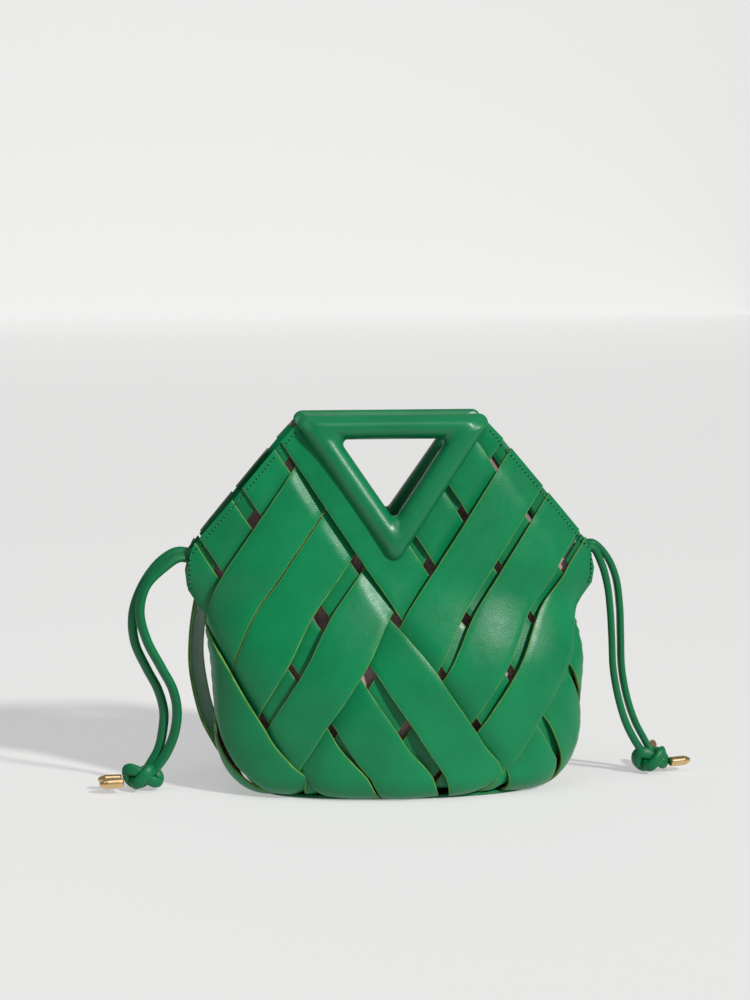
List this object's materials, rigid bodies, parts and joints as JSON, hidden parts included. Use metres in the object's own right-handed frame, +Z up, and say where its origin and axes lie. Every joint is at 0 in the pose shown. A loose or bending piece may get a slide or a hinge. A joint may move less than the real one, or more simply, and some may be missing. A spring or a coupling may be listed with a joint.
{
  "type": "woven basket handbag",
  "caption": "Basket handbag of slanting woven leather strips with a triangular ring handle on each hinged top panel, an inner drawstring pouch, knotted side cords and a shoulder strap.",
  "frame": {"origin": "centre of the bag's own outline on the plane it stands on, without cords and strap", "axes": "+X towards the bag's right ear seen from the front, +Y to its back, +Z up"},
  "size_m": [0.4302, 0.1978, 0.268],
  "materials": {
    "strip_leather": "smooth fine-grained dyed leather with a soft satin sheen and raw olive edges",
    "band_leather": "smooth dyed leather, satin",
    "handle_leather": "smooth padded leather, satin, with a stitched flange",
    "handle_core": "moulded foam-covered ring",
    "stiffener_board": "pressed board",
    "pouch_cloth": "soft matt microsuede",
    "cord_leather": "folded and stitched leather cord",
    "gold_metal": "polished pale gold",
    "strap_backing": "matt grey-brown backing"
  },
  "bodies": {
    "basket": {"rising_strip_01": "strip_leather", "rising_strip_02": "strip_leather", "rising_strip_03": "strip_leather", "rising_strip_04": "strip_leather", "rising_strip_05": "strip_leather", "rising_strip_06": "strip_leather", "rising_strip_07": "strip_leather", "rising_strip_08": "strip_leather", "rising_strip_09": "strip_leather", "rising_strip_10": "strip_leather", "rising_strip_11": "strip_leather", "rising_strip_12": "strip_leather", "falling_strip_01": "strip_leather", "falling_strip_02": "strip_leather", "falling_strip_03": "strip_leather", "falling_strip_04": "strip_leather", "falling_strip_05": "strip_leather", "falling_strip_06": "strip_leather", "falling_strip_07": "strip_leather", "falling_strip_08": "strip_leather", "falling_strip_09": "strip_leather", "falling_strip_10": "strip_leather", "falling_strip_11": "strip_leather", "falling_strip_12": "strip_leather", "ear_bands": "band_leather", "base_panel": "band_leather", "base_board": "stiffener_board", "pouch": "pouch_cloth", "pouch_casing": "pouch_cloth", "left_drawcord_run": "cord_leather", "right_drawcord_run": "cord_leather", "left_cord_front": "cord_leather", "left_cord_back": "cord_leather", "right_cord_front": "cord_leather", "right_cord_back": "cord_leather", "left_knot": "cord_leather", "right_knot": "cord_leather", "left_tip_front": "gold_metal", "left_tip_back": "gold_metal", "right_tip_front": "gold_metal", "right_tip_back": "gold_metal", "strap_outer": "strip_leather", "strap_backing": "strap_backing"},
    "front_panel": {"front_upper_rising": "strip_leather", "front_upper_falling": "strip_leather", "front_rim_bands": "band_leather", "front_handle_face": "handle_leather", "front_handle_lining": "handle_leather", "front_handle_core": "handle_core"},
    "back_panel": {"back_upper_rising": "strip_leather", "back_upper_falling": "strip_leather", "back_rim_bands": "band_leather", "back_handle_face": "handle_leather", "back_handle_lining": "handle_leather", "back_handle_core": "handle_core"}
  },
  "joints": [
    {"name": "front_panel_swing", "type": "hinge", "parent": "basket", "child": "front_panel", "pos_m": [0, -0.031, 0.157], "axis": [1, 0, 0], "range_deg": [0, 18]},
    {"name": "back_panel_swing", "type": "hinge", "parent": "basket", "child": "back_panel", "pos_m": [0, 0.031, 0.157], "axis": [-1, 0, 0], "range_deg": [0, 18]}
  ]
}
